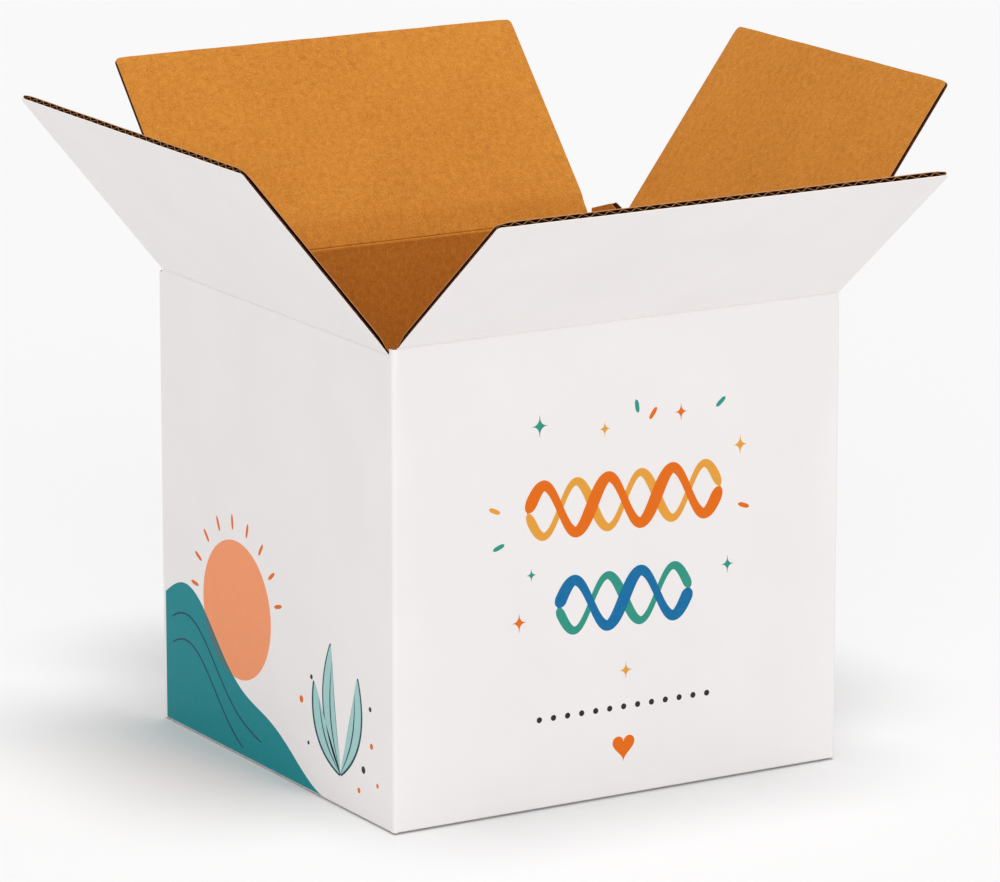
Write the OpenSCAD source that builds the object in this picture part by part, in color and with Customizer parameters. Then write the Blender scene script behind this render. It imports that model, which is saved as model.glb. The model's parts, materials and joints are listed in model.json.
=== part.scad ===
// A slotted carton folded from one sheet of single-wall corrugated board.
// The four walls and the glued bottom are one solid. Each top flap is a solid of its own,
// hinged at its crease and shown at the lean at which the open box holds it.
// Origin: on the floor, under the middle of the walls. +X right, +Y to the back, +Z up.

/* [Box] */
// Clear width inside, left to right
inside_w = 216; // [140:1:400]
// Clear depth inside, front to back
inside_d = 203; // [120:1:400]
// Height from the floor to the creases of the front and back flaps
crease_h = 209; // [120:1:400]
// Outside radius of the folded vertical corners
corner_r = 3.4; // [3:0.1:8]

/* [Board] */
// Thickness of the board
board_t = 2.8; // [2:0.1:3]
// Distance from one flute to the next
flute_pitch = 6.35; // [4:0.05:9]
// Thickness of each liner
liner_t = 0.35; // [0.2:0.05:0.6]
// Thickness of the fluted paper between the liners
medium_t = 0.3; // [0.2:0.05:0.5]

/* [Flaps] */
// Lean of the front flap, outward from upright
front_lean = 51.5; // [0:0.5:80]
// Lean of the right flap, outward from upright
right_lean = 36.5; // [0:0.5:80]
// Lean of the back flap, outward from upright
back_lean = 42; // [0:0.5:80]
// Lean of the left flap, outward from upright
left_lean = 39.5; // [0:0.5:80]
// Gap between two flaps that meet over the middle
meet_gap = 1; // [0.5:0.1:10]
// Radius of the two free corners of a flap
tip_r = 2; // [1:0.5:12]
// Slot from the left end of the front flap to the corner of the walls
front_slot_left = 2.5; // [0:0.1:15]
// Slot from the right end of the front flap to the corner
front_slot_right = 1; // [0:0.1:15]
// Slot from the left end of the back flap to the corner
back_slot_left = 15; // [0:0.1:20]
// Slot from the right end of the back flap to the corner
back_slot_right = 0.4; // [0.4:0.1:15]
// Slot from the front end of the right flap to the front wall's inner face
right_slot_front = 9.7; // [0.4:0.1:15]
// Slot from the front end of the left flap to the front wall's inner face
left_slot_front = 0.4; // [0.4:0.1:15]
// Slot from the back end of the left flap to the back wall's inner face
left_slot_back = 0.8; // [0.4:0.1:15]
// How far the slots run below the creases of the side flaps
slot_drop = 1.5; // [0.5:0.1:5]

/* [Glued joint] */
// Width of the tab that laps the right wall from the back corner
tab_w = 28.5; // [15:0.5:45]
// Slant of the tab's two ends, over its width
tab_slant = 6; // [0:0.5:10]
// Rise of the tab's top above the front and back creases, at its free edge
tab_rise = 7.5; // [0:0.5:12]
// Distance from the tab's foot to the bottom fold
tab_foot = 4; // [1:0.5:12]
// Gap between the tab and the right flap
tab_gap = 1.1; // [0.5:0.1:6]

/* [Bottom] */
// Distance of the bottom seam from the middle of the box
seam_offset = 1; // [1:0.1:4]
// Setback of the bottom flaps from the corners of the walls
bottom_setback = 1.5; // [0.5:0.1:4]

/* [Hidden] */
$fn = 48;

// Clearance between board faces that slide past each other
slide_gap = 0.4;
// Clearance between the folded-in pairs of flaps
stack_gap = 0.2;
// Setback of each mitred edge from the crease line, which is its hinge axis
mitre_gap = 0.25;
// Inside radius of a folded board
fold_r = 0.4;
// Overshoot of the cutters
over = 1;

body_w = inside_w + 2 * board_t;
body_d = inside_d + 2 * board_t;
half_w = body_w / 2;
half_d = body_d / 2;
fold_out_r = fold_r + board_t;

// The side flaps fold in first, so their creases lie one board below the others.
crease_step = board_t + stack_gap;
side_crease_h = crease_h - crease_step;
slot_z = side_crease_h - slot_drop;

// All flaps end on one straight edge of the sheet, and none passes the middle of the box.
outer_flap_l = (body_d - meet_gap) / 2;
inner_flap_l = min(outer_flap_l + crease_step, (body_w - meet_gap) / 2);

// The right flap starts in front of the glued tab.
right_slot_back = tab_w + tab_gap - board_t;

wall_white = [0.93, 0.92, 0.91];
flap_white = [0.90, 0.89, 0.89];
kraft_brown = [0.78, 0.50, 0.22];

// Rectangle centred on the origin with rounded corners
module rounded_rectangle(w, d, r) {
  square([w - 2 * r, d], center = true);
  square([w, d - 2 * r], center = true);
  for (sx = [-1, 1], sy = [-1, 1])
    translate([sx * (w / 2 - r), sy * (d / 2 - r)])
      circle(r);
}

// Folded board seen along its fold: an upright leg and a leg that runs inward under it
module fold_section(height, run) {
  difference() {
    union() {
      translate([0, fold_out_r])
        square([board_t, height - fold_out_r]);
      translate([fold_out_r, 0])
        square([run - fold_out_r, board_t]);
      intersection() {
        translate([fold_out_r, fold_out_r])
          circle(fold_out_r);
        square(fold_out_r);
      }
    }
    translate([fold_out_r, fold_out_r])
      circle(fold_r);
    translate([board_t, fold_out_r])
      square([over, height]);
    translate([fold_out_r, board_t])
      square([run, over]);
  }
}

// Stands a shape drawn for the front side on the side that faces angle a
module on_side(a, distance, z = 0) {
  rotate([0, 0, a])
    translate([0, -distance, z])
      children();
}

// A wall's foot and its bottom flap, drawn for the front side, from x0 to x1
module bottom_fold(x0, x1, run) {
  translate([x0, 0, 0])
    rotate([90, 0, 90])
      linear_extrude(x1 - x0)
        fold_section(2 * fold_out_r, run);
}

// The tube of four walls in plan
module wall_plan() {
  difference() {
    rounded_rectangle(body_w, body_d, corner_r);
    square([inside_w, inside_d], center = true);
  }
}

// Everything above the mitred top of the front wall, from x0 to x1
module mitre_cutter(x0, x1, z) {
  reach = board_t + over;
  translate([x0, 0, z])
    rotate([90, 0, 90])
      linear_extrude(x1 - x0)
        polygon([
          [-over, over - mitre_gap],
          [reach, -reach - mitre_gap],
          [reach, crease_step + over],
          [-over, crease_step + over]
        ]);
}

// The walls with mitred tops under the flaps and slots between them
module walls() {
  foot_z = board_t;
  difference() {
    translate([0, 0, foot_z])
      linear_extrude(crease_h - foot_z)
        wall_plan();
    on_side(0, half_d)
      mitre_cutter(-half_w - over, half_w + over, crease_h);
    on_side(180, half_d)
      mitre_cutter(-half_w - over, half_w + over, crease_h);
    on_side(90, half_w)
      mitre_cutter(-half_d + board_t, half_d - board_t, side_crease_h);
    on_side(270, half_w)
      mitre_cutter(-half_d + board_t, half_d - board_t, side_crease_h);
    corner_slots();
    side_feet();
  }
}

// The slots at the four corners, down to just below the side creases
module corner_slots() {
  front_y = -half_d - over;
  back_y = half_d + over;
  left_x = -half_w - over;
  right_x = half_w + over;
  slot_top = crease_step + slot_drop + over;
  translate([left_x, front_y, slot_z])
    cube([over + front_slot_left, over + board_t + left_slot_front, slot_top]);
  translate([half_w - front_slot_right, front_y, slot_z])
    cube([right_x - half_w + front_slot_right, over + board_t + right_slot_front, slot_top]);
  translate([left_x, half_d - board_t - left_slot_back, slot_z])
    cube([over + board_t, back_y - half_d + board_t + left_slot_back, slot_top]);
  translate([left_x, half_d - board_t, slot_z])
    cube([over + back_slot_left, back_y - half_d + board_t, slot_top]);
  translate([half_w - board_t, half_d - board_t - right_slot_back, slot_z])
    cube([over + board_t, over + board_t + right_slot_back, slot_top]);
  translate([half_w - back_slot_right, half_d - board_t - over, slot_z])
    cube([over + back_slot_right, board_t + 2 * over, slot_top]);
}

// What is taken off the lower ends of the side walls, where they fold under at one board's height
module side_feet() {
  for (a = [90, 270])
    on_side(a, half_w, board_t)
      translate([-half_d - over, 0, 0])
        rotate([90, 0, 90])
          linear_extrude(body_d + 2 * over)
            difference() {
              translate([-over, -over])
                square([over + fold_out_r, over + fold_out_r]);
              translate([fold_out_r, fold_out_r])
                circle(fold_out_r);
            }
}

// Glued bottom: the side flaps lie on the front and back flaps, which meet at the seam
module bottom_flaps() {
  outer_span = half_w - bottom_setback;
  inner_span = half_d - board_t - slide_gap;
  on_side(0, half_d)
    bottom_fold(-outer_span, outer_span, half_d + seam_offset - meet_gap / 2);
  on_side(180, half_d)
    bottom_fold(-outer_span, outer_span, half_d - seam_offset - meet_gap / 2);
  for (a = [90, 270])
    on_side(a, half_w, board_t)
      bottom_fold(-inner_span, inner_span, inner_flap_l);
}

// The tab: the back wall turned round the corner and glued to the right wall's outer face
module glue_tab() {
  tab_z = board_t + tab_foot;
  crown_z = crease_h + tab_rise;
  intersection() {
    linear_extrude(crown_z + over)
      tab_plan();
    translate([half_w + board_t + over, 0, 0])
      rotate([90, 0, -90])
        linear_extrude(board_t + 2 * over)
          tab_face(tab_z, crown_z);
  }
}

// The tab and its corner in plan
module tab_plan() {
  translate([half_w, half_d - tab_w])
    square([board_t, tab_w - corner_r]);
  difference() {
    translate([half_w - over, half_d - corner_r])
      square([board_t + over, corner_r]);
    translate([half_w + board_t - corner_r, half_d - corner_r])
      difference() {
        square(corner_r);
        circle(corner_r);
      }
  }
}

// The tab seen from the right, in y and z: slanted ends and a rounded upper free corner
module tab_face(foot, crown) {
  free = -half_d + tab_w;
  fold = -half_d;
  crown_r = min(tab_rise + 1, tab_w / 6);
  polygon([
    [free, foot + tab_slant],
    [fold - over, foot],
    [fold - over, slot_z],
    [fold + corner_r, slot_z],
    [fold + corner_r, crown - tab_slant],
    [free - crown_r, crown],
    [free, crown - crown_r]
  ]);
}

// Corrugated board seen along its flutes: two liners and the fluted paper between them.
// The flutes stop short of both cut sides, which stand open as grooves.
module board_section(width) {
  low = liner_t;
  high = board_t - liner_t;
  core = high - low;
  slope = atan2(core, flute_pitch / 2);
  side = medium_t / 2 / sin(slope);
  peak = core - side * tan(slope);
  count = floor(width / flute_pitch - 0.3);
  first = (width - count * flute_pitch) / 2;
  difference() {
    square([width, board_t]);
    // channels on the outer liner
    for (i = [0 : count - 1])
      translate([first + i * flute_pitch, low])
        polygon([[side, 0], [flute_pitch - side, 0], [flute_pitch / 2, peak]]);
    // channels on the inner liner
    for (i = [1 : count - 1])
      translate([first + i * flute_pitch, high])
        polygon([[side - flute_pitch / 2, 0], [flute_pitch / 2 - side, 0], [0, -peak]]);
    // the open grooves at the two sides
    groove = first + flute_pitch / 2 - side;
    translate([0, low])
      polygon([[-over, 0], [first - side, 0], [groove, core], [-over, core]]);
    translate([width, low])
      polygon([[over, 0], [side - first, 0], [-groove, core], [over, core]]);
  }
}

// What is taken off a flap's free corner to round it, with the corner at the origin
module tip_cutter() {
  rotate([-90, 0, 0])
    translate([0, 0, -over])
      linear_extrude(board_t + 2 * over)
        difference() {
          translate([-over, -over])
            square(tip_r + over);
          translate([tip_r, tip_r])
            circle(tip_r);
        }
}

// A flap drawn upright for the front side, its crease along X at the origin
module flap(x0, x1, length) {
  width = x1 - x0;
  reach = board_t + over;
  translate([x0, 0, 0])
    difference() {
      linear_extrude(length)
        board_section(width);
      // mitred root
      translate([-over, 0, 0])
        rotate([90, 0, 90])
          linear_extrude(width + 2 * over)
            polygon([[-over, mitre_gap - over], [reach, reach + mitre_gap], [reach, -over], [-over, -over]]);
      translate([0, 0, length])
        tip_cutter();
      translate([width, 0, length])
        mirror([1, 0, 0])
          tip_cutter();
    }
}

// A flap on its crease, leaning outward
module hinged_flap(a, distance, z, lean, x0, x1, length) {
  on_side(a, distance, z)
    rotate([lean, 0, 0])
      flap(x0, x1, length);
}

module box_body() {
  color(wall_white)
    union() {
      walls();
      bottom_flaps();
      glue_tab();
    }
}

module front_flap() {
  color(flap_white)
    hinged_flap(0, half_d, crease_h, front_lean,
      -half_w + front_slot_left, half_w - front_slot_right, outer_flap_l);
}

module right_flap() {
  color(kraft_brown)
    hinged_flap(90, half_w, side_crease_h, right_lean,
      -half_d + board_t + right_slot_front, half_d - board_t - right_slot_back, inner_flap_l);
}

module back_flap() {
  color(kraft_brown)
    hinged_flap(180, half_d, crease_h, back_lean,
      -half_w + back_slot_right, half_w - back_slot_left, outer_flap_l);
}

module left_flap() {
  color(flap_white)
    hinged_flap(270, half_w, side_crease_h, left_lean,
      -half_d + board_t + left_slot_back, half_d - board_t - left_slot_front, inner_flap_l);
}

box_body();
front_flap();
right_flap();
back_flap();
left_flap();
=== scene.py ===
# An open slotted carton of white-topped corrugated board, standing with its four top flaps spread.
# Each panel is laid up as the mill makes it: an outer liner, the fluted medium and an inner liner.
import json
import math
import bpy
import numpy as np
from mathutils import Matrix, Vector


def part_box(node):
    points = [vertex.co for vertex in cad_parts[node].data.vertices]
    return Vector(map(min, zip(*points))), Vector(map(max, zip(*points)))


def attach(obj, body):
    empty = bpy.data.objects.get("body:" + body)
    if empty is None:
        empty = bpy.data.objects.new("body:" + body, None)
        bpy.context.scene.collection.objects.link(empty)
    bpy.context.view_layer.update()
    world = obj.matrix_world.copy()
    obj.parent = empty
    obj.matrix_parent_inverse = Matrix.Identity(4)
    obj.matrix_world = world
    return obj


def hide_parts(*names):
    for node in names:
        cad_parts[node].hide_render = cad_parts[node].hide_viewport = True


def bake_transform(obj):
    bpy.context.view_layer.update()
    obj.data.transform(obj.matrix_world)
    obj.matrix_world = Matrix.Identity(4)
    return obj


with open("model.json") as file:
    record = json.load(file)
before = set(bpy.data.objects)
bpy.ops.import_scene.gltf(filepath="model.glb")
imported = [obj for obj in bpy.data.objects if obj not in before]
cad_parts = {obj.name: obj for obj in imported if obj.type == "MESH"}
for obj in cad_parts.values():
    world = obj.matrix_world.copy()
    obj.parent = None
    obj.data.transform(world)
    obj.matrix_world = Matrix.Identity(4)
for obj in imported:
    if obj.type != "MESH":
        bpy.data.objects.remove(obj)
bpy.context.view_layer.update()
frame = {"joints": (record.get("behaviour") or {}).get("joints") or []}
mm = 0.001


# Camera and sheet sizes

camera = dict(
    lens=220.42,               # mm
    sensor=36.0,               # mm
    azimuth=-30.63,            # degrees, 0 looks along +Y
    elevation=13.5,
    distance=2710.69 * mm,
    right=2.05 * mm,           # how far the view is centred beside the origin
    up=131.5 * mm,
    reach=100.0,               # m, as far as it sees
)

board = dict(
    thick=2.8 * mm,
    liner=0.35 * mm,
    medium=0.3 * mm,
    mediumDrawn=0.36 * mm,     # a little more, so that the cut edge shows it
    pitch=6.35 * mm,           # from one flute to the next
    peak=0.985,                # 1 is a pointed flute, 0 a sine
    fluteSteps=8,              # points to a flute
    endReach=3.0 * mm,         # the columns are closer together over this length at either end
    cornerRadius=3.4 * mm,     # outside of the folded vertical corners
    footRadius=3.2 * mm,       # outside of the folded bottom edges
    cornerSharp=1.8 * mm,      # what the taut outer liner makes of the two
    footSharp=1.0 * mm,
)
paperSlots = dict(outer="white_liner", inner="kraft_liner", fluting="kraft_liner")
outerPair = ("front_flap", "back_flap")    # they close over the other two


def aimCamera():
    # It looks along its azimuth and elevation, and is moved to the side and up in its own plane
    azimuth, elevation = math.radians(camera["azimuth"]), math.radians(camera["elevation"])
    back = np.array([math.sin(azimuth) * math.cos(elevation),
                     -math.cos(azimuth) * math.cos(elevation), math.sin(elevation)])
    right = np.cross(-back, [0, 0, 1])
    right /= np.linalg.norm(right)
    up = np.cross(back, right)
    data = bpy.data.cameras.new("photoCamera")
    data.lens = camera["lens"]
    data.sensor_width = camera["sensor"]
    data.clip_end = camera["reach"]
    cam = bpy.data.objects.new("photoCamera", data)
    cam.location = back * camera["distance"] + right * camera["right"] + up * camera["up"]
    cam.rotation_euler = (math.pi / 2 - elevation, 0, azimuth)
    bpy.context.scene.collection.objects.link(cam)
    bpy.context.scene.camera = cam


aimCamera()
print("camera set")


# Materials

papers = dict(
    coatLight="#F9F5F4",
    coatCloud="#F7F3F2",
    kraftLight="#E69D3F",
    kraftDark="#B36A1D",
    kraftFibre="#EDB465",
    kraftFleck="#8A4C14",
    cutWhite="#FBF3EC",
    cutKraft="#D09C6C",
    cutFluting="#A87A50",
    torn="#94582E",
    # painted shade of the hollows between the liners, far darker than the fluting paper's own brown
    channel="#5E3018",
    # the rest in mm
    grain=0.52,                # size of the fibre clumps in the kraft
    grainDepth=0.02,
    mottle=2.6,                # size of the soft patches of pulp
    cloud=38.0,
    tooth=0.35,                # tooth of the coated surface
    toothDepth=0.008,
    coatFlutes=0.006,          # how far the flutes show through the white liner
    kraftFlutes=0.012,         # and through the kraft
    cutFuzz=0.5,               # patches on the cut edges, in the painted shade of the hollows and along a torn flute
    hollowFuzz=0.8,
    tornSpecks=1.3,
    inkMottle=2.2,
)


def linear(hexText):
    # sRGB hex to linear: divide by 12.92 below 0.04045, and otherwise the 2.4 power
    value = np.array([int(hexText[i:i + 2], 16) for i in (1, 3, 5)]) / 255
    value = np.where(value <= 0.04045, value / 12.92, ((value + 0.055) / 1.055) ** 2.4)
    return (*value.tolist(), 1.0)


def shaded(colour, share, added=0.0):
    # a linear colour made darker by a share, or paler by what is added
    return (*(c * share + added for c in colour[:3]), 1.0)


def newMaterial(name):
    material = bpy.data.materials.new(name)
    material.use_nodes = True
    tree = material.node_tree
    shader = tree.nodes["Principled BSDF"]

    def add(kind, inputs=None, **settings):
        # adds a node: its inputs are numbers, colours or the output sockets that feed them
        node = tree.nodes.new(kind)
        for key, value in settings.items():
            setattr(node, key, value)
        for key, value in (inputs or {}).items():
            if isinstance(value, bpy.types.NodeSocket):
                tree.links.new(value, node.inputs[key])
            else:
                node.inputs[key].default_value = value
        return node

    def feed(**sockets):
        for key, value in sockets.items():
            target = shader.inputs[key.replace("_", " ")]
            if isinstance(value, bpy.types.NodeSocket):
                tree.links.new(value, target)
            else:
                target.default_value = value

    return material, add, feed


def noiseAt(add, place, size, detail=2.0, stretch=(1, 1, 1)):
    # noise whose grains are size millimetres across, drawn out by stretch
    scale = [1 / (size * mm * s) for s in stretch]
    moved = add("ShaderNodeVectorMath", {0: place, 1: scale}, operation="MULTIPLY")
    grains = {"Vector": moved.outputs[0], "Scale": 1.0, "Detail": detail}
    return add("ShaderNodeTexNoise", grains).outputs["Fac"]


def mixed(add, factor, a, b):
    # colour a where the factor is 0, and b where it is 1
    node = add("ShaderNodeMix", data_type="RGBA")
    for socket, value in ((node.inputs["Factor"], factor), (node.inputs["A"], a), (node.inputs["B"], b)):
        if isinstance(value, bpy.types.NodeSocket):
            node.id_data.links.new(value, socket)
        else:
            socket.default_value = value
    return node.outputs["Result"]


def ramp(add, value, low=0.3, high=0.7, top=1.0):
    # 0 below low and top above high, which by default leave out the thin ends of a noise
    limits = {"Value": value, "From Min": low, "From Max": high, "To Max": top}
    return add("ShaderNodeMapRange", limits).outputs["Result"]


def bumped(add, height, depth, under=None):
    # a relief as deep as depth millimetres, on top of the one under it
    inputs = {"Height": height, "Distance": depth * mm, "Strength": 1.0}
    if under is not None:
        inputs["Normal"] = under
    return add("ShaderNodeBump", inputs).outputs["Normal"]


def washboard(add):
    # The flutes behind a liner as a wave across the sheet: one crest for each flute
    sheet = add("ShaderNodeUVMap", uv_map="sheet").outputs["UV"]
    across = add("ShaderNodeSeparateXYZ", {0: sheet}).outputs["X"]
    turn = 2 * math.pi / board["pitch"]
    phase = add("ShaderNodeMath", {0: across, 1: turn}, operation="MULTIPLY").outputs[0]
    wave = add("ShaderNodeMath", {0: phase}, operation="SINE").outputs[0]
    return add("ShaderNodeMath", {0: wave, 1: 0.5, 2: 0.5}, operation="MULTIPLY_ADD").outputs[0]


def clayCoatedLiner():
    # White top liner, clay coated and calendered: an even, slightly cloudy white with a soft low sheen
    material, add, feed = newMaterial("clay-coated white liner")
    place = add("ShaderNodeTexCoord").outputs["Object"]
    clouds = ramp(add, noiseAt(add, place, papers["cloud"]), 0.35, 0.65)
    tooth = noiseAt(add, place, papers["tooth"], 3)
    flutes = bumped(add, washboard(add), papers["coatFlutes"])
    feed(Base_Color=mixed(add, clouds, linear(papers["coatLight"]), linear(papers["coatCloud"])),
         Roughness=0.55, Specular_IOR_Level=0.35, Normal=bumped(add, tooth, papers["toothDepth"], flutes))
    return material


def kraftLiner():
    # Bare kraft paper from long softwood fibres: a warm brown, mottled, with fine paler and darker fibres
    material, add, feed = newMaterial("kraft liner")
    place = add("ShaderNodeTexCoord").outputs["Object"]
    clouds = ramp(add, noiseAt(add, place, papers["cloud"]))
    mottle = ramp(add, noiseAt(add, place, papers["mottle"], 4))
    grain = ramp(add, noiseAt(add, place, papers["grain"]))
    flutes = washboard(add)
    pulp = 0.0
    for pattern, share in ((mottle, 0.30), (grain, 0.56), (clouds, 0.11), (flutes, 0.03)):
        pulp = add("ShaderNodeMath", {0: pattern, 1: share, 2: pulp}, operation="MULTIPLY_ADD").outputs[0]
    base = mixed(add, pulp, linear(papers["kraftDark"]), linear(papers["kraftLight"]))
    pale = ramp(add, noiseAt(add, place, papers["grain"], 2, (1, 1, 9)), 0.58, 0.74, 0.38)
    dark = ramp(add, noiseAt(add, place, papers["grain"] * 1.3, 2, (6, 6, 1)), 0.6, 0.78, 0.28)
    base = mixed(add, pale, base, linear(papers["kraftFibre"]))
    base = mixed(add, dark, base, linear(papers["kraftFleck"]))
    relief = bumped(add, grain, papers["grainDepth"], bumped(add, flutes, papers["kraftFlutes"]))
    feed(Base_Color=base, Roughness=0.85, Specular_IOR_Level=0.2, Normal=relief)
    return material


def cutPaper(name, colour, shade):
    # Paper cut through by the knife: a pale, fibrous line without any sheen
    material, add, feed = newMaterial(name)
    place = add("ShaderNodeTexCoord").outputs["Object"]
    fuzz = ramp(add, noiseAt(add, place, papers["cutFuzz"]))
    dull = shaded(linear(colour), shade)
    feed(Base_Color=mixed(add, fuzz, linear(colour), dull), Roughness=0.95, Specular_IOR_Level=0.1)
    return material


def flutingMedium():
    # The hollow of the flutes as painted shade: the recycled brown fluting paper coloured nearly black, far
    # darker than its own colour, in patches of deeper painted shade
    material, add, feed = newMaterial("fluting medium in shade")
    place = add("ShaderNodeTexCoord").outputs["Object"]
    fuzz = ramp(add, noiseAt(add, place, papers["hollowFuzz"]))
    shade = linear(papers["channel"])
    feed(Base_Color=mixed(add, fuzz, shade, shaded(shade, 0.6)), Roughness=1.0, Specular_IOR_Level=0.0)
    return material


def tornFluting():
    # The fluted paper where the knife runs along a flute: a dark slit of painted shade, with torn brown
    # specks in the paper's own colour
    material, add, feed = newMaterial("fluting medium, torn along a flute")
    place = add("ShaderNodeTexCoord").outputs["Object"]
    specks = ramp(add, noiseAt(add, place, papers["tornSpecks"], 3), 0.52, 0.66)
    feed(Base_Color=mixed(add, specks, linear(papers["channel"]), linear(papers["torn"])),
         Roughness=1.0, Specular_IOR_Level=0.0)
    return material


def printingInk(name, colour):
    # Water-based ink laid flat on the coating: solid colour with the faint mottle of a flexographic plate
    material, add, feed = newMaterial("printing ink " + name)
    place = add("ShaderNodeTexCoord").outputs["Object"]
    mottle = ramp(add, noiseAt(add, place, papers["inkMottle"], 4))
    thin = shaded(linear(colour), 0.96, 0.012)
    feed(Base_Color=mixed(add, mottle, linear(colour), thin), Roughness=0.5, Specular_IOR_Level=0.15)
    return material


finishes = dict(
    white=clayCoatedLiner(),
    kraft=kraftLiner(),
    cutWhite=cutPaper("white liner, cut edge", papers["cutWhite"], 0.92),
    cutKraft=cutPaper("kraft liner, cut edge", papers["cutKraft"], 0.75),
    cutFluting=cutPaper("fluting medium, cut edge", papers["cutFluting"], 0.7),
    torn=tornFluting(),
    channel=flutingMedium(),
)
inkColours = dict(orange="#EE7000", blue="#0070A8", coral="#FFA06E", teal="#008A92", overlap="#4A7679",
                  amber="#EFA63C", green="#2E9A86", pale="#A9D6D3", navy="#173F55", dark="#2A2A2C")
finishes.update({name: printingInk(name, colour) for name, colour in inkColours.items()})
print("materials made:", len(finishes))


# Mesh tools

sharpAngle = 40                # degrees, an edge that turns by more stays sharp


def column(values):
    return np.asarray(values, float)[:, None]


def bell(distance, reach):
    # A bell curve: the exponential of minus the square of distance over reach
    return np.exp(-(distance / reach) ** 2)


def closedGrid(near, far, finish, uv=None):
    # Two grids of points, one a paper's thickness behind the other, closed round their four rims.
    # finish names the near face, the far face, the two rims at the ends of s, and the two at the ends of v.
    rows, cols = near.shape[:2]
    front = np.arange(rows * cols).reshape(rows, cols)
    back = front + rows * cols

    def cells(grid):
        return np.stack([grid[:-1, :-1], grid[1:, :-1], grid[1:, 1:], grid[:-1, 1:]], -1).reshape(-1, 4)

    def rim(a, b):
        return np.stack([a[1:], a[:-1], b[:-1], b[1:]], -1)

    faces = [cells(front), cells(back)[:, ::-1],
             rim(front[::-1, -1], back[::-1, -1]), rim(front[:, 0], back[:, 0]),
             rim(front[-1], back[-1]), rim(front[0, ::-1], back[0, ::-1])]
    names = [finish[0], finish[1], finish[3], finish[3], finish[2], finish[2]]
    points = np.concatenate([near.reshape(-1, 3), far.reshape(-1, 3)])
    quads = np.concatenate(faces)
    a, b, c, d = (points[quads[:, i]] for i in range(4))
    volume = (np.cross(a, b) * c).sum() + (np.cross(a, c) * d).sum()
    if volume < 0:
        quads = quads[:, ::-1]
    labels = np.repeat(names, [len(f) for f in faces])
    if uv is None:
        uv = np.zeros((rows, cols, 2))
    return dict(points=points, quads=quads, labels=labels, uv=np.tile(uv.reshape(-1, 2), (2, 1)))


def makePiece(name, parts):
    # Joins closed grids into one mesh, with a material slot for each finish that they use
    count = np.cumsum([0] + [len(p["points"]) for p in parts])
    points = np.concatenate([p["points"] for p in parts])
    quads = np.concatenate([p["quads"] + n for p, n in zip(parts, count)])
    labels = np.concatenate([p["labels"] for p in parts])
    uv = np.concatenate([p["uv"] for p in parts])
    mesh = bpy.data.meshes.new(name)
    mesh.from_pydata(points.tolist(), [], quads.tolist())
    used, index = np.unique(labels, return_inverse=True)
    for label in used:
        mesh.materials.append(finishes[str(label)])
    mesh.polygons.foreach_set("material_index", index.astype(np.int32).ravel())
    corners = np.empty(len(mesh.loops), np.int32)
    mesh.loops.foreach_get("vertex_index", corners)
    mesh.uv_layers.new(name="sheet").data.foreach_set("uv", uv[corners].ravel())
    mesh.shade_smooth()
    mesh.set_sharp_from_angle(angle=math.radians(sharpAngle))
    mesh.update()
    piece = bpy.data.objects.new(name, mesh)
    bpy.context.scene.collection.objects.link(piece)
    return piece


def settle(piece, body, slot, *nodes):
    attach(piece, body)
    if nodes:
        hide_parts(*nodes)


def turnedPath(points, radius):
    # A line through the points, turned at each corner on an arc of the given radius on its left side.
    # The curve at depth n is the line moved n to the right: heading h gives the normal (sin h, -cos h).
    # Returns a function of the distance p and the depth n, and the distances at which its pieces start.
    points = np.array(points, float)
    step = np.diff(points, axis=0)
    size = np.hypot(step[:, 0], step[:, 1])
    ahead = step / size[:, None]
    heading = np.unwrap(np.arctan2(step[:, 1], step[:, 0]))
    turn = np.diff(heading)
    inset = radius * np.tan(np.abs(turn) / 2)
    before, after = np.r_[0, inset], np.r_[inset, 0]
    length = np.zeros(2 * len(size) - 1)
    length[0::2] = size - before - after
    length[1::2] = radius * np.abs(turn)
    bend = np.zeros(len(length))
    bend[1::2] = np.sign(turn) / radius
    start = np.r_[0, np.cumsum(length)]
    begin = np.empty((len(length), 2))
    begin[0::2] = points[:-1] + ahead * before[:, None]
    begin[1::2] = points[1:-1] - ahead[:-1] * inset[:, None]
    head = np.empty(len(length))
    head[0::2] = heading
    head[1::2] = heading[:-1]

    def at(p, n):
        p, n = np.broadcast_arrays(np.asarray(p, float), n)
        k = np.clip(np.searchsorted(start, p, side="right") - 1, 0, len(length) - 1)
        d = p - start[k]
        h = head[k] + bend[k] * d
        curve = np.where(bend[k] == 0, 1, bend[k])
        x = np.where(bend[k] == 0, d * np.cos(head[k]), (np.sin(h) - np.sin(head[k])) / curve)
        y = np.where(bend[k] == 0, d * np.sin(head[k]), (np.cos(head[k]) - np.cos(h)) / curve)
        return begin[k, 0] + x + n * np.sin(h), begin[k, 1] + y - n * np.cos(h)

    return at, start


def squareReach(angle, radius, sharp):
    # How far a corner on the sharp radius lies from the centre of a quarter turn on the given radius.
    # A ray from the centre at the angle meets the straight side at radius / cosine, or the sharp arc.
    c, w = np.cos(angle), np.sin(angle)
    long, short = np.maximum(c, w), np.minimum(c, w)
    shift = radius - sharp
    reach = shift * (c + w)
    arc = reach + np.sqrt(np.clip(sharp ** 2 - 2 * shift ** 2 + reach ** 2, 0, None))
    return np.where(short / long * radius <= shift, radius / long, arc)


def squaredUp(n, angle, radius, sharp):
    # Depth n in a quarter turn, moved out to the sharp corner: wholly at the outer face, not at the inner
    return n - (squareReach(angle, radius, sharp) - radius) * (1 - n / board["thick"])


def onSide(turn, distance, height):
    # Maps s along a side, a inward from its outer face and b upward from a height to the shared frame
    c, w = math.cos(math.radians(turn)), math.sin(math.radians(turn))

    def place(s, a, b):
        s, a, b = np.broadcast_arrays(s, a, b)
        return np.stack([c * s - w * (a - distance), w * s + c * (a - distance), height + b], -1)

    return place


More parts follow.
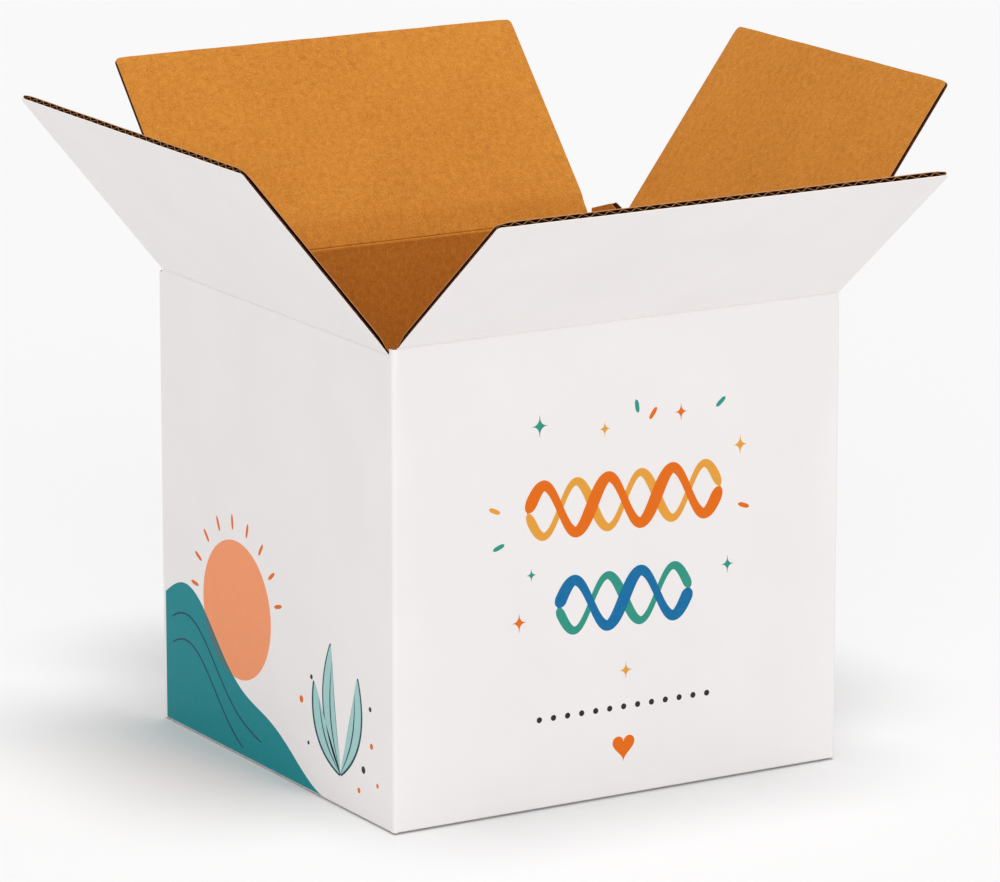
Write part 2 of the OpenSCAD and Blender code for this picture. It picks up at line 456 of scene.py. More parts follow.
def spaced(low, high, step):
    # evenly spaced values, at most one step apart
    return np.linspace(low, high, max(2, int(math.ceil(abs(high - low) / step)) + 1))


def panelColumns(low, high, step):
    # places across a panel, a step apart and closer together near either end
    ends = np.linspace(0, board["endReach"], 7)
    return np.r_[low + ends, spaced(low + ends[-1], high - ends[-1], step)[1:-1], (high - ends)[::-1]]


def flutePlaces(low, high, steps=board["fluteSteps"]):
    # places across a panel for its fluting, so many to a flute
    return spaced(low, high, board["pitch"] / steps)


def fluteDepth(s, squeeze=1.0):
    # Depth of the middle of the fluted paper: a wave from liner to liner, nearly straight between its peaks
    wave = np.arcsin(board["peak"] * np.sin(2 * math.pi * s / board["pitch"])) / math.asin(board["peak"])
    swing = (board["thick"] - 2 * board["liner"] - board["medium"]) / 2
    return board["thick"] / 2 + swing * wave * squeeze


def layUp(point, columns, fluteColumns, rows, squeeze=1.0):
    # The three papers of a panel: point(s, v, n) is the place at depth n, and rows(s) is v down each column
    def grid(s, depth):
        s = column(s)
        v = rows(s)
        s = np.broadcast_to(s, v.shape)
        return point(s, v, depth), np.stack([s, v], -1)

    thick, liner = board["thick"], board["liner"]
    outer, uv = grid(columns, 0.0)
    behind, _ = grid(columns, liner)
    inner, _ = grid(columns, thick)
    before, _ = grid(columns, thick - liner)
    middle = fluteDepth(column(fluteColumns), squeeze)
    half = board["mediumDrawn"] / 2
    fluteNear, fluteUv = grid(fluteColumns, middle - half)
    fluteFar, _ = grid(fluteColumns, middle + half)
    # the liners' faces toward the flutes and the fluting's faces carry the painted shade of the hollows
    return dict(
        outer=closedGrid(outer, behind, ("white", "channel", "cutWhite", "cutWhite"), uv),
        inner=closedGrid(inner, before, ("kraft", "channel", "cutKraft", "cutKraft"), uv),
        fluting=closedGrid(fluteNear, fluteFar, ("channel", "channel", "torn", "cutFluting"), fluteUv),
    )


# The sides of the box, from the frame

sides = dict(
    front_flap=dict(turn=0, lean=51.5),
    right_flap=dict(turn=90, lean=36.5),
    back_flap=dict(turn=180, lean=42.0),
    left_flap=dict(turn=270, lean=39.5),
)
for joint in frame["joints"]:
    side = sides[joint["child"]]
    hinge = np.array(joint["pos_m"])
    side["joint"] = joint["name"]
    side["distance"] = float(np.hypot(hinge[0], hinge[1]))
    side["crease"] = float(hinge[2])
    side["place"] = onSide(side["turn"], side["distance"], side["crease"])
    along = np.array([math.cos(math.radians(side["turn"])), math.sin(math.radians(side["turn"])), 0])
    side["ends"] = sorted(float(np.dot(along, corner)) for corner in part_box(joint["child"]))

halfWidth = sides["right_flap"]["distance"]
halfDepth = sides["front_flap"]["distance"]
frontCrease = sides["front_flap"]["crease"]
sideCrease = sides["right_flap"]["crease"]

# Room beside the front and back flaps, so that they close past a side flap that stands open
sideRoom = 1.0 * mm
furthest = halfWidth - sideRoom
for flapName in outerPair:
    sides[flapName]["ends"] = np.clip(sides[flapName]["ends"], -furthest, furthest).tolist()


# Top flaps

flapShape = dict(
    root=12.0 * mm,            # where the rigid flap leaves the crease
    meetGap=1.0 * mm,          # between two flaps that meet over the middle
    tipRadius=2.0 * mm,
    pinchOuter=0.2 * mm,       # how far the knife presses the liners together at the free corners
    pinchInner=0.7 * mm,
    pinchReach=4.0 * mm,
    pressOuter=0.05 * mm,      # and along the cut tip
    pressInner=0.12 * mm,
    pressReach=1.2 * mm,
    sideOuter=0.1 * mm,        # and along the sides, where the knife crushes the flutes
    sideInner=0.6 * mm,
    sideReach=1.8 * mm,
    wander=0.06 * mm,          # waviness of the knife's cut, a long wave and a short one
    wanderLong=7.3 * mm,
    wanderShort=2.9 * mm,
    step=3.0 * mm,             # between columns
    fluteSteps=10,
    fluteInset=0.15 * mm,      # of the fluting from the two sides
)


def crushedSide(s, ends):
    # A bell over the distance to the nearer side of a flap
    return bell(np.minimum(s - ends[0], ends[1] - s), flapShape["sideReach"])


def flapLength(name):
    # All four meet over the middle, and the side flaps start lower
    outer = halfDepth - flapShape["meetGap"] / 2
    return outer if name in outerPair else outer + frontCrease - sideCrease


def makeFlap(name):
    # A plane sheet: s runs along the crease, v from the crease to the tip, both turned by the lean.
    # The tip's corners are quarter circles, and near them the two liners are pinched together.
    side, shape = sides[name], flapShape
    low, high = side["ends"]
    length, radius = flapLength(name), shape["tipRadius"]
    lean = math.radians(side["lean"])

    def cutLine(s):
        edge = np.minimum(s - low, high - s)
        inside = np.clip(radius - edge, 0, radius)
        corner = radius - np.sqrt(radius ** 2 - inside ** 2)
        wander = np.sin(s / shape["wanderLong"]) + 0.6 * np.sin(s / shape["wanderShort"] + 1.0)
        return length - corner + shape["wander"] * wander * np.clip(edge / radius, 0, 1)

    # the rows are closer together near the cut tip
    shares = np.r_[np.linspace(0, 0.94, 12), np.linspace(0.95, 1, 12)]

    def rows(s):
        return shape["root"] + (cutLine(s) - shape["root"]) * shares

    def point(s, v, n):
        pinch = bell(np.hypot(np.minimum(s - low, high - s), length - v), shape["pinchReach"])
        press = bell(cutLine(s) - v, shape["pressReach"])
        crush = crushedSide(s, side["ends"]) * (1 - pinch)
        share = n / board["thick"]
        outward = shape["pinchOuter"] * pinch + shape["pressOuter"] * press + shape["sideOuter"] * crush
        inward = shape["pinchInner"] * pinch + shape["pressInner"] * press + shape["sideInner"] * crush
        n = n + (1 - share) * outward - share * inward
        a = n * math.cos(lean) - v * math.sin(lean)
        b = n * math.sin(lean) + v * math.cos(lean)
        return side["place"](s, a, b)

    curve = radius * (1 - np.cos(np.linspace(0, math.pi / 2, 9)))
    middle = spaced(low + radius, high - radius, shape["step"])[1:-1]
    columns = np.r_[low + curve, middle, (high - curve)[::-1]]
    inset = shape["fluteInset"]
    layers = layUp(point, columns, flutePlaces(low + inset, high - inset, shape["fluteSteps"]), rows)
    body = side["joint"].replace("_crease", "")
    for layer, slot in paperSlots.items():
        settle(makePiece(f"{name}_{layer}", [layers[layer]]), body, slot, name)


for flapName in sides:
    makeFlap(flapName)
print("flaps laid up:", len(sides))


# Creases

creaseShape = dict(
    radius=0.3 * mm,           # inside of the fold, on the outer face
    below=6.0 * mm,            # how far under the side creases the strips start
    press=0.5 * mm,            # depth of the pressed line on the outer face
    pressHalf=0.32 * mm,
    scoreBelow=3.0 * mm,       # the scored line on the inner face, under the fold
    crushReach=8.0 * mm,       # the board is crushed from the scored line to this far up the flap
    soften=0.3 * mm,           # rounding of the two ends of the crushed face
    ridge=0.10 * mm,           # soft bead under the scored line
    ridgeBelow=1.28 * mm,
    ridgeHalf=0.8 * mm,
    groove=0.35 * mm,
    grooveHalf=0.28 * mm,
    sideFade=3.0 * mm,         # over which the crushed sides of the flap begin
    squeeze=0.8,               # height of the flutes here as a share of the flap's
    fineBelow=4.5 * mm,        # the rows are close together from here to the end of the fold
    wallStep=1.5 * mm,
    foldStep=0.15 * mm,
    rootStep=0.5 * mm,
    step=8.0 * mm,             # between columns
    fluteInset=0.35 * mm,
)
bandTop = sideCrease - creaseShape["below"]


def cornerRecess(s, name):
    # How far the rounded corner of the walls falls behind their flat face at s
    radius = board["cornerSharp"]
    reach = (halfWidth if name in outerPair else halfDepth) - radius
    over = np.clip(np.abs(s) - reach, 0, radius * 0.999)
    return radius - np.sqrt(radius ** 2 - over ** 2)


def makeCrease(name):
    # The wall's head, the fold and the flap's root as one strip, up the wall, round the crease and along.
    # A straight line, a + slope * b = level, cuts the inner face off between the scored line and the flap.
    # The depth is the soft minimum of the two faces: (x + y - sqrt((x - y) ** 2 + soften ** 2)) / 2.
    # The bead, the scored line and the pressed line are bell curves.
    side, shape = sides[name], creaseShape
    low, high = side["ends"]
    lean = math.radians(side["lean"])
    c, w = math.cos(lean), math.sin(lean)
    drop = side["crease"] - bandTop
    root, thick = flapShape["root"], board["thick"]
    fold, start = turnedPath([(0, -drop), (0, 0), (-root * w, root * c)], shape["radius"])
    innerArc = (shape["radius"] + thick) * lean
    innerEnd = innerArc + start[3] - start[2]
    score, reach = -shape["scoreBelow"], shape["crushReach"]
    slope = (thick - thick * c + reach * w) / (thick * w + reach * c - score)
    level = thick + slope * score
    fine = -shape["fineBelow"]
    along = np.r_[spaced(-start[1], fine, shape["wallStep"])[:-1],
                  spaced(fine, innerArc, shape["foldStep"])[:-1],
                  spaced(innerArc, innerEnd, shape["rootStep"])]
    distances = np.interp(along, [-start[1], 0, innerArc, innerEnd], start)

    def point(s, v, n):
        outerA, outerB = fold(v, 0.0)
        innerA, innerB = fold(v, thick)
        closing = innerA - outerA + slope * (innerB - outerB)
        cut = thick * (level - outerA - slope * outerB) / closing - thick
        ridge = shape["ridge"] * bell(innerB - score + shape["ridgeBelow"], shape["ridgeHalf"])
        groove = shape["groove"] * bell(innerB - score, shape["grooveHalf"])
        relief = (cut - np.sqrt(cut ** 2 + shape["soften"] ** 2)) / 2 + ridge - groove
        pressed = shape["press"] * bell(v - (start[1] + start[2]) / 2, shape["pressHalf"])
        share = n / thick
        crush = crushedSide(s, side["ends"]) * np.clip((v - start[2]) / shape["sideFade"], 0, 1)
        relief = relief - crush * flapShape["sideInner"]
        pressed = pressed + crush * flapShape["sideOuter"]
        a, b = fold(v, n + share * relief + (1 - share) * pressed)
        if name == "front_flap":
            fade = np.clip(-b / drop, 0, 1)
            a = a + cornerRecess(s, name) * fade ** 2 * (3 - 2 * fade)
        return side["place"](s, a, b)

    def rows(s):
        return np.broadcast_to(distances, (len(s), len(distances)))

    columns = panelColumns(low, high, shape["step"])
    inset = shape["fluteInset"]
    layers = layUp(point, columns, flutePlaces(low + inset, high - inset), rows, shape["squeeze"])
    wallEnd = side["place"](0, thick, -thick)
    flapEnd = side["place"](0, thick * (c - w), thick * (w + c))
    for layer, slot in paperSlots.items():
        piece = makePiece(f"{side['joint']}_{layer}", [layers[layer]])
        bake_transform(piece)


for flapName in sides:
    makeCrease(flapName)
print("creases laid up:", len(sides))


# Walls, one sheet from the right wall's end round to the glued tab

wallShape = dict(
    bandFoot=10.0 * mm,        # where the walls leave the bottom folds
    slotDrop=1.5 * mm,         # the slots run this far below the side creases
    tabWidth=28.5 * mm,
    tabFoot=6.8 * mm,          # height of the tab's foot at its fold
    tabFoldFoot=7.3 * mm,      # and of the fold's own foot
    tabSlant=6.0 * mm,
    tabRise=7.5 * mm,          # of the tab's top above the front crease
    tabChamfer=4.75 * mm,
    outerSetback=1.5 * mm,     # of the front and back bottom flaps from the corners
    innerSetback=3.2 * mm,     # of the side bottom flaps from the corners
    cornerGap=0.3 * mm,        # round the pressed corner between the front and the left flap
    cornerPress=0.8,           # its thickness as a share of the board's
    lipFoot=0.85 * mm,         # height of the lip that sags beside the outer bottom flaps
    lipWidth=1.35 * mm,
    lipRadius=0.4 * mm,
    flatStep=12.0 * mm,        # between columns, and in the corners
    turnStep=0.2 * mm,
    fluteInset=0.2 * mm,
    rows=5,
)
wallOrder = ("right_flap", "front_flap", "left_flap", "back_flap")
wallCorners = list(zip(wallOrder, wallOrder[1:]))
tabFace = halfWidth + board["thick"]
slotFloor = sideCrease - wallShape["slotDrop"]
plan, planStart = turnedPath(
    [(halfWidth, halfDepth - board["thick"]), (halfWidth, -halfDepth), (-halfWidth, -halfDepth),
     (-halfWidth, halfDepth), (tabFace, halfDepth), (tabFace, halfDepth - wallShape["tabWidth"])],
    board["cornerRadius"])
tabFold, tabStart, tabEnd = planStart[7:10]    # where the tab's fold begins, the tab begins and it ends


def alongWalls(name, s):
    # Distance along the plan of the place s on a side. Past the flat part it follows the corner's arc.
    radius = board["cornerRadius"]
    number = wallOrder.index(name)
    flatStart, flatEnd = planStart[2 * number], planStart[2 * number + 1]
    first = (halfDepth - board["thick"], halfWidth - radius, halfDepth - radius, halfWidth - radius)[number]
    last = first - (flatEnd - flatStart)
    angles = np.linspace(0, math.pi / 2, 361)
    reached = squareReach(angles, radius, board["cornerSharp"]) * np.sin(angles)
    if s > first:
        return flatStart - radius * np.interp(s - first, reached, angles)
    if s < last:
        return flatEnd + radius * np.interp(last - s, reached, angles)
    return flatStart + first - s


def wallPart(first, last, foot, head, press=1.0):
    # A stretch of wall between two distances along the plan and two heights, which may change along it
    marks = sorted([first, last] + [d for d in planStart if first < d < last])
    columns = []
    for a, b in zip(marks, marks[1:]):
        turning = np.searchsorted(planStart, (a + b) / 2) % 2 == 0
        columns.append(spaced(a, b, wallShape["turnStep" if turning else "flatStep"])[:-1])
    columns = np.r_[tuple(columns) + (last,)]

    def point(p, z, n):
        piece = np.searchsorted(planStart, p, side="right") - 1
        begin = planStart[np.clip(piece, 0, len(planStart) - 1)]
        angle = np.where(piece % 2 == 1, np.clip((p - begin) / board["cornerRadius"], 0, math.pi / 2), 0)
        x, y = plan(p, squaredUp(n * press, angle, board["cornerRadius"], board["cornerSharp"]))
        return np.stack(np.broadcast_arrays(x, y, z), -1)

    def rows(p):
        low = foot(p) if callable(foot) else np.full_like(p, foot)
        high = head(p) if callable(head) else np.full_like(p, head)
        return low + (high - low) * np.linspace(0, 1, wallShape["rows"])

    inset = 0.0 if last - first < board["pitch"] else wallShape["fluteInset"]
    return layUp(point, columns, flutePlaces(first + inset, last - inset), rows)


def bottomSpan(name):
    # Half the width of a bottom flap
    if name in outerPair:
        return halfWidth - wallShape["outerSetback"]
    return halfDepth - wallShape["innerSetback"]


def makeWalls():
    # A band all round, with short heads between the creases and short posts between the bottom folds
    bandFoot, thick = wallShape["bandFoot"], board["thick"]
    band = [wallPart(0, tabStart, bandFoot, bandTop)]
    ends = {name: side["ends"] for name, side in sides.items()}
    heads = [(0, alongWalls("right_flap", ends["right_flap"][1]))]
    heads += [(alongWalls(a, ends[a][0]), alongWalls(b, ends[b][1])) for a, b in wallCorners]
    heads.append((alongWalls("back_flap", ends["back_flap"][0]), tabStart))
    band += [wallPart(a, b, bandTop, slotFloor) for a, b in heads]
    # between the front and the left flap the pressed corner stands up to the creases
    a, b = heads[2]
    gap = wallShape["cornerGap"]
    band.append(wallPart(a, b - gap, slotFloor, frontCrease - gap, wallShape["cornerPress"]))
    posts = [(alongWalls(a, -bottomSpan(a)), alongWalls(b, bottomSpan(b))) for a, b in wallCorners]
    posts.append((alongWalls("back_flap", -bottomSpan("back_flap")), tabFold))
    band += [wallPart(a, b, thick, bandFoot) for a, b in posts]
    band.append(wallPart(tabFold, tabStart, wallShape["tabFoldFoot"], bandFoot))
    # the outer liner of the corners reaches down to the floor
    skirts = [wallPart(a, b, wallShape["lipFoot"], thick) for a, b in posts]
    for layer, slot in paperSlots.items():
        parts = band + skirts if layer == "outer" else band
        settle(makePiece(f"walls_{layer}", [part[layer] for part in parts]), "box", slot, "box_body")


def makeTab():
    # The tab's foot climbs away from its fold, and its head rises to a plateau with a cut corner
    run, slant, chamfer = tabEnd - tabStart, wallShape["tabSlant"], wallShape["tabChamfer"]
    crown = frontCrease + wallShape["tabRise"]

    def foot(p):
        return wallShape["tabFoot"] + slant * (p - tabStart) / run

    def head(p):
        climb = np.clip((p - tabStart) / (run - chamfer), 0, 1)
        return crown - slant * (1 - climb) - np.clip(p - (tabEnd - chamfer), 0, None)

    layers = wallPart(tabStart, tabEnd, foot, head)
    for layer, slot in paperSlots.items():
        settle(makePiece(f"glued_tab_{layer}", [layers[layer]]), "box", slot)


makeWalls()
makeTab()
print("walls laid up")


# Bottom flaps with their folds

bottomShape = dict(
    seam=1.0 * mm,             # of the outer pair, off the middle
    seamGap=1.0 * mm,
    lift=0.8 * mm,             # how far the front and back edges stand off the floor
    liftTop=8.0 * mm,          # height at which the lift has faded out
    undercut=2.2 * mm,
    flatStep=20.0 * mm,        # between rows and between columns
    nearReach=2.0 * mm,        # rows before the fold, in it and above it
    nearStep=0.25 * mm,
    foldStep=0.15 * mm,
    wallStep=1.5 * mm,
    lipStep=0.12 * mm,
    fluteInset=0.3 * mm,
)


def makeBottomFlap(name, base, run):
    # A flat flap that turns up into the wall on an arc. In the fold the flutes are crushed to a solid core.
    # The outer liner of the side flaps sags as a lip beside the edges of the outer pair.
    side, shape, span = sides[name], bottomShape, bottomSpan(name)
    height = wallShape["bandFoot"] - base
    fold, start = turnedPath([(run, 0), (0, 0), (0, height)], board["footRadius"])
    width, down = wallShape["lipWidth"], wallShape["lipFoot"] - base
    sag = [(run, 0), (width, 0), (width, down), (0, down), (0, height)]
    lip, lipStart = turnedPath(sag, wallShape["lipRadius"])
    place = onSide(side["turn"], side["distance"], base)

    def point(s, v, n):
        fade = np.clip((v - start[1]) / (start[2] - start[1]), 0, 1)
        a, b = fold(v, squaredUp(n, fade * math.pi / 2, board["footRadius"], board["footSharp"]))
        if name in outerPair:
            under = 1 - np.clip((a - shape["undercut"]) / shape["undercut"], 0, 1) ** 2
            b = b + shape["lift"] * under * np.clip(1 - b / shape["liftTop"], 0, 1)
            a = a + cornerRecess(s, name) * fade
        return place(s, a, b)

    def lipPoint(s, v, n):
        return place(s, *lip(v, n))

    def sheetOf(distances):
        return lambda s: np.broadcast_to(distances, (len(s), len(distances)))

    near = start[1] - shape["nearReach"]
    level = spaced(0, near, shape["flatStep"])
    bend = np.r_[spaced(start[1], start[2], shape["foldStep"]),
                 spaced(start[2], start[3], shape["wallStep"])[1:]]
    whole = np.r_[level[:-1], spaced(near, start[1], shape["nearStep"])[:-1], bend]
    columns = panelColumns(-span, span, shape["flatStep"])
    layers = layUp(point, columns, columns, sheetOf(whole))
    if name not in outerPair:
        sagging = np.r_[0, spaced(lipStart[1], lipStart[-2], shape["lipStep"]), lipStart[-1]]
        layers["outer"] = layUp(lipPoint, columns, columns, sheetOf(sagging))["outer"]
    flutePlan = flutePlaces(-span + shape["fluteInset"], span - shape["fluteInset"])
    flutes = layUp(point, columns, flutePlan, sheetOf(np.r_[level, start[1]]))["fluting"]
    s, v = np.broadcast_arrays(column(columns), bend)
    core = closedGrid(point(s, v, board["liner"]), point(s, v, board["thick"] - board["liner"]),
                      ("white", "kraft", "cutWhite", "cutFluting"))
    return dict(outer=[layers["outer"]], inner=[layers["inner"]], fluting=[flutes, core])


def makeBottom():
    # The outer pair lies on the floor and meets off the middle, and the other two lie on it
    setback = dict(front_flap=bottomShape["seam"], back_flap=-bottomShape["seam"])
    parts = {layer: [] for layer in paperSlots}
    for name in sides:
        if name in setback:
            made = makeBottomFlap(name, 0.0, halfDepth + setback[name] - bottomShape["seamGap"] / 2)
        else:
            made = makeBottomFlap(name, board["thick"], flapLength(name))
        for layer, part in made.items():
            parts[layer] += part
    for layer, slot in paperSlots.items():
        settle(makePiece(f"bottom_{layer}", parts[layer]), "box", slot)


makeBottom()
print("bottom laid up")


# Print: plain fields and common ornaments

inkDepth = dict(under=0.01 * mm, above=0.03 * mm)


def inkShape(name, edgeA, edgeB, ink, lift=0):
    # A flat shape between two edges, each a list of points in s and height, as a film of ink on the liner
    side = sides[name]
    place = onSide(side["turn"], side["distance"], 0.0)
    edges = np.stack([edgeA, edgeB], 1)
    s, z = edges[..., 0], edges[..., 1]
    top = -inkDepth["above"] * (1 + lift)
    return closedGrid(place(s, top, z), place(s, inkDepth["under"], z), (ink,) * 4)


def inkStroke(name, s, z, half, ink, lift=0):
    # A stroke along a curve: its edges lie half its width to either side, along the curve's normal
    ds, dz = np.gradient(s), np.gradient(z)
    size = np.hypot(ds, dz)
    across = np.stack([-dz / size, ds / size], -1) * column(half)
    middle = np.stack([s, z], -1)
    return inkShape(name, middle - across, middle + across, ink, lift)


def inkSpan(name, s, low, high, ink, lift=0):
    # A shape that reaches from one height to another at each s
    return inkShape(name, np.stack([s, low], -1), np.stack([s, high], -1), ink, lift)


def roundEnds(t, taper):
    # 1 along the stroke, falling as a circle over its ends, and not quite to a point
    edge = np.clip(np.minimum(t, 1 - t) / taper, 0, 1)
    return np.sqrt(np.clip(1 - (1 - edge) ** 2, 0.0016, 1))


def acrossDisc(count):
    # places from -1 to 1 as the cosines of even angles, which stop just short of both ends
    return np.cos(np.linspace(0.04, math.pi - 0.04, count))


def disc(name, s, z, radius, ink, lift=0):
    # A circle: half its height is the radius times the square root of 1 - t ** 2
    t = acrossDisc(40)
    rise = radius * np.sqrt(1 - t ** 2)
    return inkSpan(name, s + radius * t, z - rise, z + rise, ink, lift)


def star(name, s, z, radius, ink):
    # Four points: the square roots of the two distances add up to one
    t = np.linspace(-0.985, 0.985, 33)
    rise = radius * (1 - np.sqrt(np.abs(t))) ** 2 + 0.05 * mm
    return inkSpan(name, s + radius * t * 0.8, z - rise, z + rise, ink)


def dash(name, s, z, angle, length, half, ink):
    # A short straight stroke, rounded over the last two fifths at either end
    t = np.linspace(0, 1, 15)
    c, w = math.cos(math.radians(angle)), math.sin(math.radians(angle))
    way = length * (t - 0.5)
    return inkStroke(name, s + c * way, z + w * way, half * roundEnds(t, 0.4), ink)


def petal(name, s, z, angle, length, half, ink, bow=0.0, lift=0):
    # A leaf form: the half width is a sine of the way along, on a stem line with a slight bow
    t = np.linspace(0.012, 0.988, 31)
    c, w = math.cos(math.radians(angle)), math.sin(math.radians(angle))
    side = bow * length * np.sin(math.pi * t)
    return inkStroke(name, s + length * t * c - side * w, z + length * t * w + side * c,
                     half * np.sin(math.pi * t) ** 0.8, ink, lift)


def heart(name, s, z, size, ink):
    # Two arcs above and two arc cosines below, over a width of four
    t = np.linspace(-1.985, 1.985, 61)
    high = np.sqrt(1 - (np.abs(t) - 1) ** 2)
    low = np.arccos(1 - np.abs(t)) - math.pi
    return inkSpan(name, s + size * t / 4, z + size * (low + 0.8) / 4, z + size * (high + 0.8) / 4, ink)


def waveStroke(name, ends, z, swing, turns, half, ink, lift):
    # A ribbon that swings as a sine and swells where it runs upward, as a broad pen draws it
    t = np.linspace(0, 1, 240)
    turned = 2 * math.pi * turns * t
    swell = half * (0.8 + 0.2 * np.cos(turned)) * roundEnds(t, 0.025)
    return inkStroke(name, ends[0] + (ends[1] - ends[0]) * t, z + swing * np.sin(turned), swell, ink, lift)


# All in mm: places are s along the wall from its middle and z above the floor
frontPrint = dict(
    middle=2,
    heart=(22, 11),                     # z and width
    ribbons=((48, 131, 3, ("amber", "orange")), (33, 88, 2, ("green", "blue"))),  # reach, z, turns, inks
    strands=((-11, 2.2), (11, 3.0)),    # swing and half width of a ribbon's two strands
    stars=((-40, 168, 5, "green"), (-8, 163, 3.5, "amber"), (30, 166, 4, "orange"), (60, 148, 4.5, "amber"),
           (54, 96, 4, "green"), (-50, 84, 4.5, "orange"), (-44, 104, 3, "green"), (3, 56, 4, "amber")),
    dashes=((8, 171, 100, "green"), (16, 167, 55, "orange"), (50, 168, 40, "green"),
            (62, 121, -20, "orange"), (-60, 118, 20, "green"), (-62, 134, -25, "amber")),
    dashSize=(6, 1.0),                  # length and half width
    dots=(13, 7, 40, 1.3),              # how many, how far apart, z and radius
)


def printFront():
    f, shape = "front_flap", frontPrint
    middle = shape["middle"]
    z, width = shape["heart"]
    parts = [heart(f, middle * mm, z * mm, width * mm, "orange")]
    for reach, z, turns, inks in shape["ribbons"]:
        ends = ((middle - reach) * mm, (middle + reach) * mm)
        for lift, (ink, (swing, half)) in enumerate(zip(inks, shape["strands"])):
            parts.append(waveStroke(f, ends, z * mm, swing * mm, turns, half * mm, ink, lift))
    for s, z, radius, ink in shape["stars"]:
        parts.append(star(f, s * mm, z * mm, radius * mm, ink))
    length, half = shape["dashSize"]
    for s, z, angle, ink in shape["dashes"]:
        parts.append(dash(f, s * mm, z * mm, angle, length * mm, half * mm, ink))
    count, apart, z, radius = shape["dots"]
    for i in range(count):
        parts.append(disc(f, (middle + apart * (i - count // 2)) * mm, z * mm, radius * mm, "dark"))
    settle(makePiece("print_front", parts), "box", None)


leftPrint = dict(
    hill=(42, 58),                      # where it ends and its height
    sun=(-34, 66, 31),                  # s, z and radius
    rays=(39, 7, 0.9),                  # distance from the sun's centre, length and half width
    contours=((14, 0.62), (26, 0.5)),   # how far under the slope, and the share of the hill where each ends
    contourHalf=0.35,
    plant=58,
    leaves=((98, 58, 0.10), (72, 50, -0.10), (122, 44, 0.12)),    # angle, length and bow
    layers=((14, 0, 5.5, "navy"), (15, 2, 4.8, "pale"), (15, 9, 0.45, "navy")),  # z, less long, half width
    dots=((24, 40, 1.6, "orange"), (33, 52, 1.1, "dark"), (40, 30, 1.2, "orange"), (78, 22, 1.6, "dark"),
          (85, 34, 1.3, "orange"), (90, 18, 1.0, "orange"), (84, 50, 1.1, "dark"), (30, 22, 0.9, "dark"),
          (74, 12, 1.2, "orange")),
)


def printLeft():
    f, shape = "left_flap", leftPrint
    edge = -(halfDepth - board["cornerRadius"])
    foot = wallShape["lipFoot"] + wallShape["lipRadius"]
    reach, top = (value * mm for value in shape["hill"])
    sunS, sunZ, sunRadius = (value * mm for value in shape["sun"])

    def hill(s):
        # a raised cosine slope with a small second swell
        t = np.clip((s - edge) / (reach - edge), 0, 1)
        return foot + top * np.cos(t * math.pi / 2) ** 1.4 * (1 + 0.18 * np.sin(3 * math.pi * t))

    s = np.linspace(edge, reach, 90)
    parts = [inkSpan(f, s, np.full_like(s, foot), hill(s) + 0.02 * mm, "teal"),
             disc(f, sunS, sunZ, sunRadius, "coral", 1)]
    # the sun's part behind the hill, in the mixed colour
    t = acrossDisc(60)
    across, rise = sunS + sunRadius * t, sunRadius * np.sqrt(1 - t ** 2)
    low, high = sunZ - rise, np.minimum(sunZ + rise, hill(across))
    within = high > low + 0.05 * mm
    parts.append(inkSpan(f, across[within], low[within], high[within], "overlap", 2))
    distance, length, half = (value * mm for value in shape["rays"])
    for angle in range(15, 176, 20):
        c, w = math.cos(math.radians(angle)), math.sin(math.radians(angle))
        parts.append(dash(f, sunS + distance * c, sunZ + distance * w, angle, length, half, "orange"))
    half = shape["contourHalf"] * mm * roundEnds(np.linspace(0, 1, 60), 0.05)
    for drop, last in shape["contours"]:
        way = edge + (reach - edge) * np.linspace(0.04, last, 60)
        parts.append(inkStroke(f, way, hill(way) - drop * mm, half, "navy", 3))
    plant = shape["plant"] * mm
    for angle, length, bow in shape["leaves"]:
        for lift, (z, less, half, ink) in enumerate(shape["layers"]):
            drawn = (length - less) * mm
            parts.append(petal(f, plant, z * mm, angle, drawn, half * mm, ink, bow, lift))
    for s, z, radius, ink in shape["dots"]:
        parts.append(disc(f, s * mm, z * mm, radius * mm, ink))
    settle(makePiece("print_left", parts), "box", None)


printFront()
printLeft()
print("print laid on")


# Floor and light

studio = dict(
    floorColour="#F4F4F4",
    bounceColour="#EAEAEA",
    floorHalf=9.0,             # m
    floorBelow=0.05 * mm,
    skyStrength=0.66,
    # strength, angle across, azimuth from the front towards the right and height, all three in degrees
    keyLamp=(1.04, 20.0, -5.0, 79.0),
    fillLamp=(0.70, 60.0, -25.0, 15.0),
)


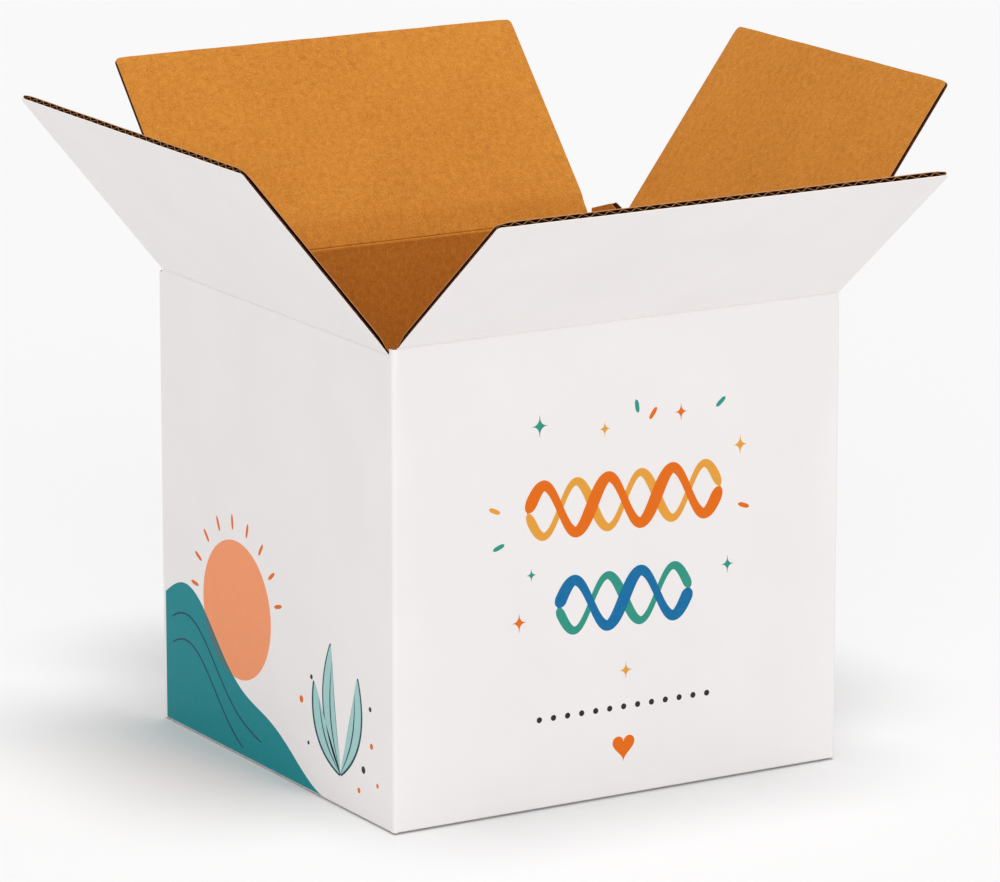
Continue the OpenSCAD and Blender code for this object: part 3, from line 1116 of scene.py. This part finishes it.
def makeFloor():
    # A pale paper sweep: its bounce is a little darker than what the camera sees
    half = studio["floorHalf"]
    x = np.linspace(-half, half, 3)
    points = np.stack(np.meshgrid(x, x, [-studio["floorBelow"]], indexing="ij"), -1)
    mesh = bpy.data.meshes.new("floor")
    grid = np.arange(9).reshape(3, 3)
    quads = np.stack([grid[:-1, :-1], grid[1:, :-1], grid[1:, 1:], grid[:-1, 1:]], -1).reshape(-1, 4)
    mesh.from_pydata(points.reshape(-1, 3).tolist(), [], quads.tolist())
    floor = bpy.data.objects.new("floor", mesh)
    bpy.context.scene.collection.objects.link(floor)
    material, add, feed = newMaterial("pale studio floor")
    seen = add("ShaderNodeLightPath").outputs["Is Camera Ray"]
    feed(Base_Color=mixed(add, seen, linear(studio["bounceColour"]), linear(studio["floorColour"])),
         Roughness=1.0, Specular_IOR_Level=0.0)
    mesh.materials.append(material)


def makeLight():
    # An even white tent, with a soft lamp nearly overhead and a wide, low, weak one at the camera's side
    world = bpy.data.worlds.new("studioTent")
    world.use_nodes = True
    bpy.context.scene.world = world
    nodes, links = world.node_tree.nodes, world.node_tree.links
    back = nodes["Background"]
    back.inputs["Color"].default_value = (1, 1, 1, 1)
    path = nodes.new("ShaderNodeLightPath")
    seen = nodes.new("ShaderNodeMath")
    seen.operation = "MAXIMUM"
    links.new(path.outputs["Is Camera Ray"], seen.inputs[0])
    links.new(path.outputs["Is Glossy Ray"], seen.inputs[1])
    strength = nodes.new("ShaderNodeMapRange")
    strength.inputs["To Min"].default_value = studio["skyStrength"]
    strength.inputs["To Max"].default_value = 1.0
    links.new(seen.outputs[0], strength.inputs["Value"])
    links.new(strength.outputs["Result"], back.inputs["Strength"])
    for name in ("keyLamp", "fillLamp"):
        energy, angle, azimuth, height = studio[name]
        lamp = bpy.data.lights.new(name, "SUN")
        lamp.energy = energy
        lamp.angle = math.radians(angle)
        holder = bpy.data.objects.new(name, lamp)
        holder.rotation_euler = (math.radians(90 - height), 0, math.radians(azimuth))
        bpy.context.scene.collection.objects.link(holder)


makeFloor()
makeLight()
bpy.context.scene.view_settings.view_transform = "Standard"
print("studio set")
